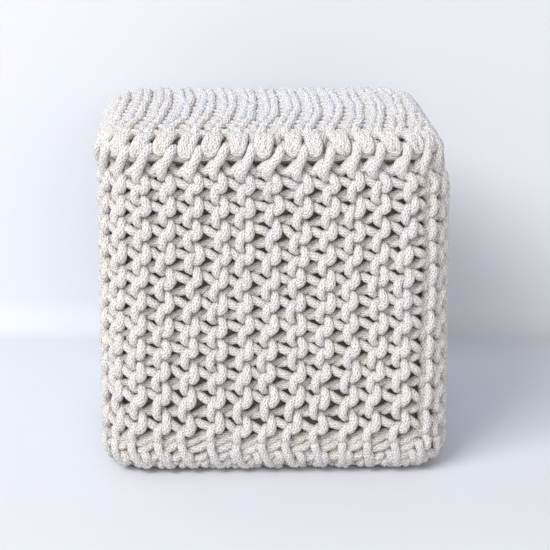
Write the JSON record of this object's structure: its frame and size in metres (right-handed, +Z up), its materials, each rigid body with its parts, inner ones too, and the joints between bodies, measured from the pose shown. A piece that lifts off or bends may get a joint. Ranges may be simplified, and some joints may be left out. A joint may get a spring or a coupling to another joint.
{
  "type": "knitted cube pouf",
  "caption": "Filled cube pouf covered in chunky hand-knitted cotton cord, with upright ridges on its sides, used as a seat, footrest or low table.",
  "frame": {"origin": "middle of the underside, on the floor", "axes": "+Z up, -Y towards the front face, +X to the right of it"},
  "size_m": [0.4066, 0.4066, 0.402],
  "materials": {
    "knitted_cord": "matt undyed cotton cord, knitted",
    "joining_cord": "matt undyed cotton cord, overcast and chained"
  },
  "bodies": {
    "root": {"side_band": "knitted_cord", "top_panel": "knitted_cord", "bottom_panel": "knitted_cord", "top_seam": "joining_cord", "bottom_seam": "joining_cord", "corner_seam": "joining_cord"}
  },
  "joints": []
}
